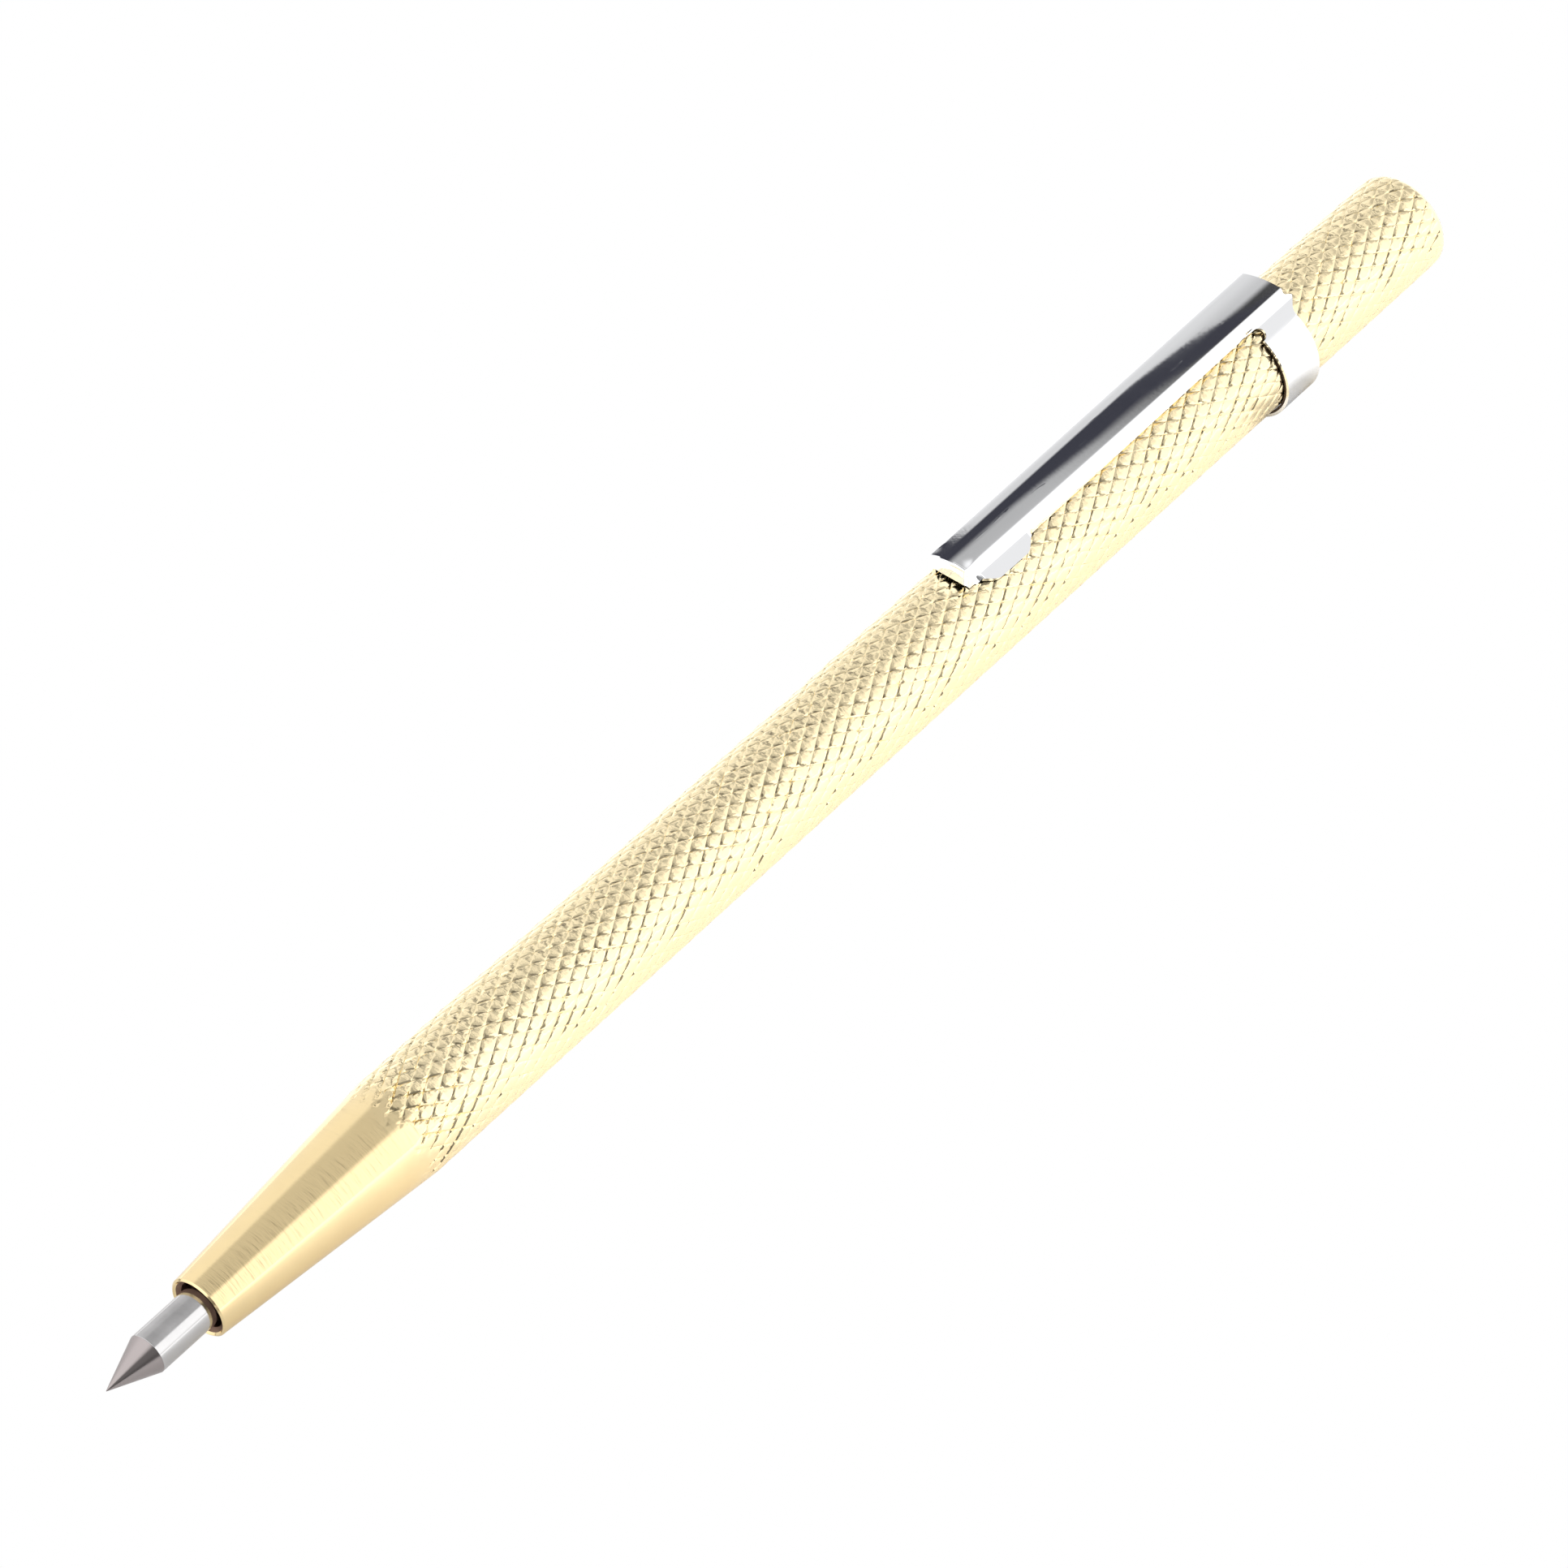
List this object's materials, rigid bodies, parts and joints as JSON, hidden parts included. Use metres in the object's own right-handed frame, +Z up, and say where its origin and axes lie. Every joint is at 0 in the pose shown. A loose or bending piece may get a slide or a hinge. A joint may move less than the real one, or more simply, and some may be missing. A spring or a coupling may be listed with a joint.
{
  "type": "pocket scriber",
  "caption": "Pocket scriber for marking metal: knurled barrel with tapered nose, replaceable carbide point in a hidden collet, sprung pocket clip.",
  "frame": {"origin": "bottom centre of the scriber's bounding box, as it lies with the clip upwards", "axes": "+X along the barrel from the point towards the rear end, +Z up through the clip, +Y across the barrel"},
  "size_m": [0.141, 0.0088, 0.0101],
  "materials": {
    "gold_aluminium": "pale gold plated, bright turned on the nose, raised diamond knurl on the grip",
    "carbide": "ground tungsten carbide, dark grey-brown",
    "polished_steel": "centreless ground and polished",
    "brass": "machined, unplated",
    "tube_steel": "drawn, dull",
    "clip_chrome": "mirror chrome plated sheet with fine scratches"
  },
  "bodies": {
    "barrel": {"barrel": "gold_aluminium"},
    "point": {"point_shank": "polished_steel", "carbide_tip": "carbide"},
    "collet": {"collet": "brass"},
    "push_tube": {"push_tube": "tube_steel"},
    "rear_screw": {"rear_screw": "gold_aluminium"},
    "clip_band": {"clip_band": "clip_chrome"},
    "clip_arm": {"clip_arm": "clip_chrome"}
  },
  "joints": [
    {"name": "point_withdraw", "type": "slide", "parent": "barrel", "child": "point", "axis": [-1, 0, 0], "range_m": [0, 0.0285]},
    {"name": "screw_turn", "type": "hinge", "parent": "push_tube", "child": "rear_screw", "pos_m": [0.0655, 0, 0.00445], "axis": [1, 0, 0], "range_deg": [0, 1080]},
    {"name": "push_tube_travel", "type": "slide", "parent": "barrel", "child": "push_tube", "axis": [1, 0, 0], "range_m": [0, 0.0015]},
    {"name": "collet_travel", "type": "slide", "parent": "barrel", "child": "collet", "axis": [1, 0, 0], "range_m": [0, 0.0015]},
    {"name": "clip_swivel", "type": "hinge", "parent": "barrel", "child": "clip_band", "pos_m": [0.05265, 0, 0.00445], "axis": [1, 0, 0], "continuous": true},
    {"name": "clip_flex", "type": "hinge", "parent": "clip_band", "child": "clip_arm", "pos_m": [0.05085, 0, 0.01007], "axis": [0, 1, 0], "range_deg": [0, 5], "stiffness_Nm_per_rad": 2.5, "springref_deg": -1.15}
  ],
  "couplings": [
    {"joint": "collet_travel", "follows": "push_tube_travel", "ratio": 1},
    {"joint": "screw_turn", "follows": "push_tube_travel", "rad_per_m": 12566}
  ]
}
